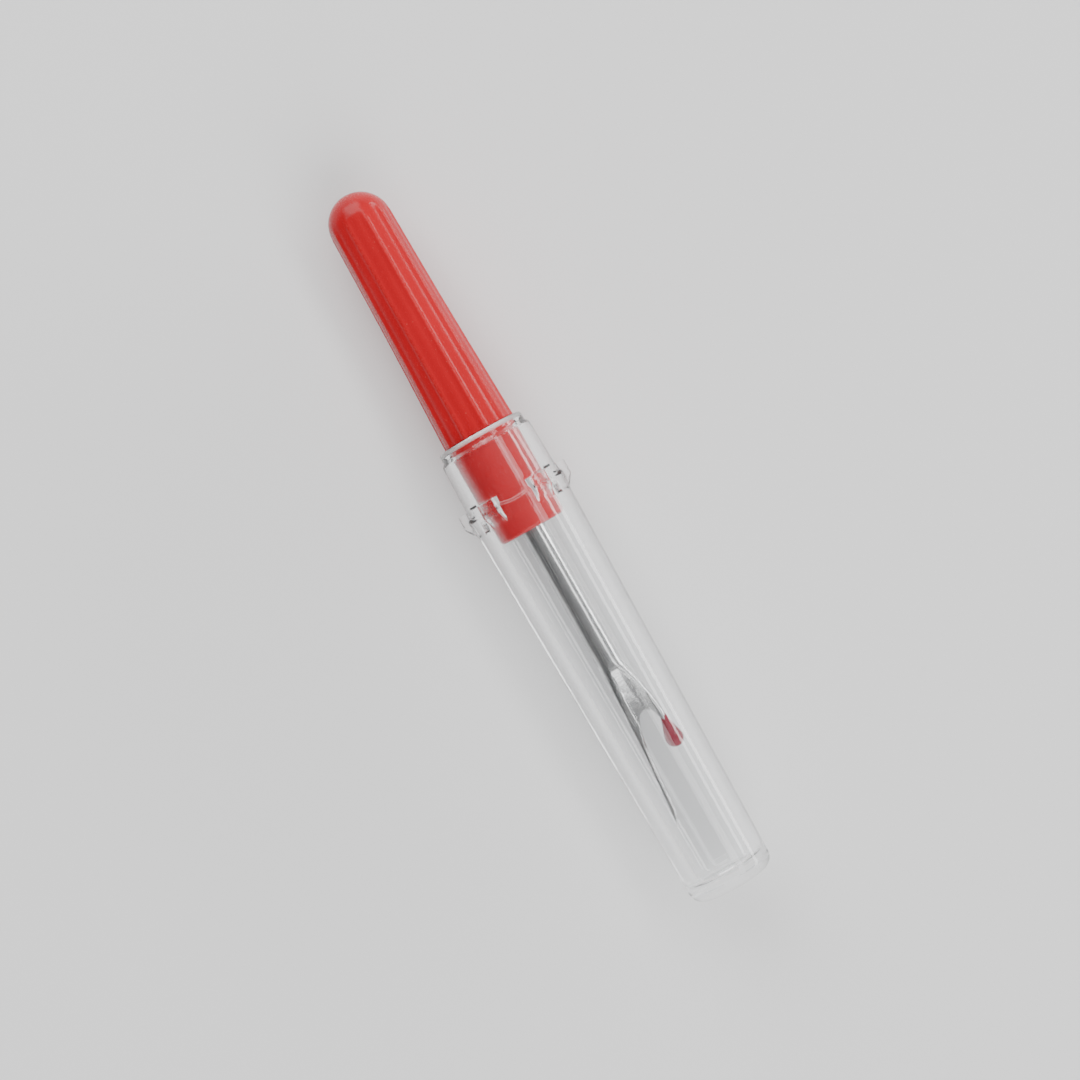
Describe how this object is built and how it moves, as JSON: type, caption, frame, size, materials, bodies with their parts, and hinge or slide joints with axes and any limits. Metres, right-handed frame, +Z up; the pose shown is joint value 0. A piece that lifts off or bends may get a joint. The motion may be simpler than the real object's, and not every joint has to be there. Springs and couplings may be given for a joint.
{
  "type": "seam ripper",
  "caption": "Small seam ripper with a ten-sided red grip, forked steel blade with a ball-tipped short prong, and a clear push-on cap with a ring of lugs.",
  "frame": {"origin": "on the ground, under the middle of the capped tool's length and of its cap's lug ring", "axes": "+X along the tool from the grip's domed end to the cap's closed end, +Y towards the fork's ball-tipped prong, +Z up, square to the fork's flat"},
  "size_m": [0.088, 0.0134, 0.0125],
  "materials": {
    "handle_plastic": "gloss",
    "bead_plastic": "gloss",
    "blade_steel": "polished and ground",
    "clear_plastic": "clear gloss"
  },
  "bodies": {
    "handle": {"handle": "handle_plastic", "blade": "blade_steel", "bead": "bead_plastic"},
    "cap": {"cap": "clear_plastic"}
  },
  "joints": [
    {"name": "cap_pull", "type": "slide", "parent": "handle", "child": "cap", "axis": [1, 0, 0], "range_m": [0, 0.06]}
  ]
}
